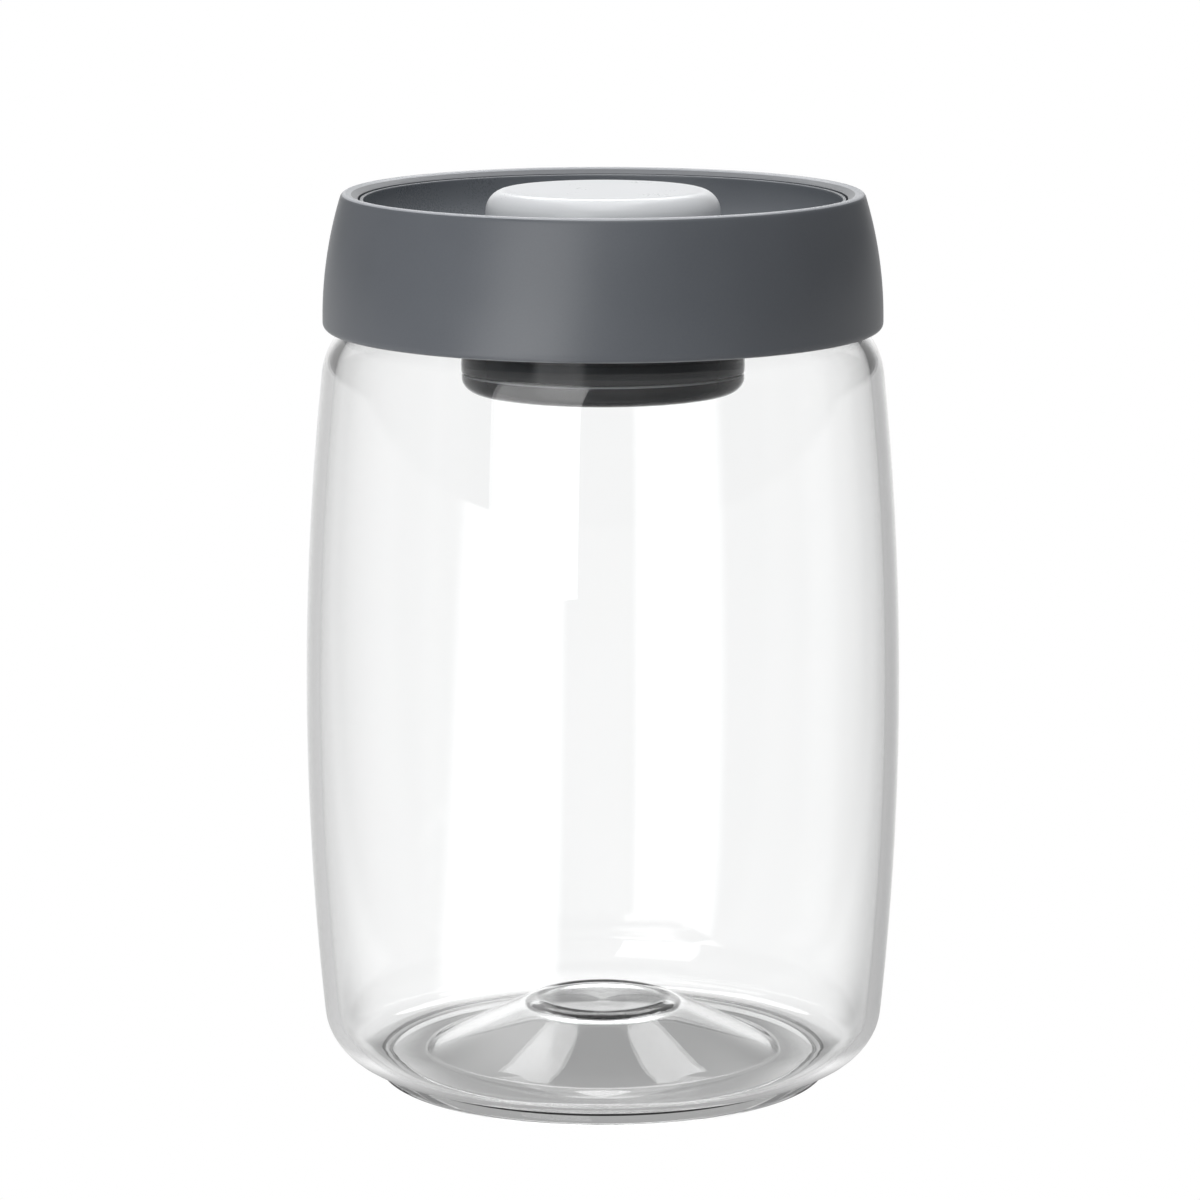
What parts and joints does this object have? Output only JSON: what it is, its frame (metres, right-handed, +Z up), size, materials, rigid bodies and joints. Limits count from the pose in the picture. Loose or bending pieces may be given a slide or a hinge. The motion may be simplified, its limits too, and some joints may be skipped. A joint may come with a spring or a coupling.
{
  "type": "vacuum canister",
  "caption": "Barrel-shaped clear glass food canister with a dark lid, a white press-pump button in a finger bowl, a pump barrel under the lid and a turn-to-release valve.",
  "frame": {"origin": "centre of the foot ring, on the surface that the jar stands on", "axes": "+Z up along the jar's axis; -Y towards the viewer of the picture, +X to the viewer's right"},
  "size_m": [0.1126, 0.1126, 0.1691],
  "materials": {
    "clear_glass": "clear, polished by fire, smooth",
    "grey_plastic": "satin, very fine moulded grain",
    "white_plastic": "soft gloss",
    "pump_plastic": "high gloss",
    "inner_plastic": "plain moulded",
    "silicone": "matte, slightly clear",
    "spring_steel": "bright drawn wire",
    "screw_steel": "plain"
  },
  "bodies": {
    "jar_body": {"jar": "clear_glass"},
    "lid_body": {"lid_cover": "grey_plastic", "lid_tray": "grey_plastic", "inner_lid": "inner_plastic", "mouth_gasket": "silicone", "pump_cylinder": "pump_plastic", "cylinder_seal": "silicone", "cylinder_screws": "screw_steel", "pump_end_cap": "pump_plastic", "end_cap_seal": "silicone", "inlet_valve": "silicone", "return_spring": "spring_steel"},
    "ring_body": {"turn_ring": "inner_plastic"},
    "button_body": {"push_button": "white_plastic", "piston": "inner_plastic", "piston_seal": "silicone", "exhaust_valve": "silicone", "piston_screws": "screw_steel"},
    "valve_body": {"release_valve": "inner_plastic", "release_valve_seal": "silicone"}
  },
  "joints": [
    {"name": "lid_lift", "type": "slide", "parent": "jar_body", "child": "lid_body", "axis": [0, 0, 1], "range_m": [0, 0.05]},
    {"name": "button_turn", "type": "hinge", "parent": "lid_body", "child": "ring_body", "pos_m": [0, 0, 0.1525], "axis": [0, 0, 1], "range_deg": [0, 45]},
    {"name": "button_press", "type": "slide", "parent": "ring_body", "child": "button_body", "axis": [0, 0, -1], "range_m": [0, 0.008], "stiffness_N_per_m": 600, "springref_m": -0.006, "deforming": ["return_spring"]},
    {"name": "release_lift", "type": "slide", "parent": "lid_body", "child": "valve_body", "axis": [0, 0, 1], "range_m": [0, 0.0015]}
  ],
  "couplings": [
    {"joint": "release_lift", "follows": "button_turn", "m_per_rad": 0.001909}
  ]
}
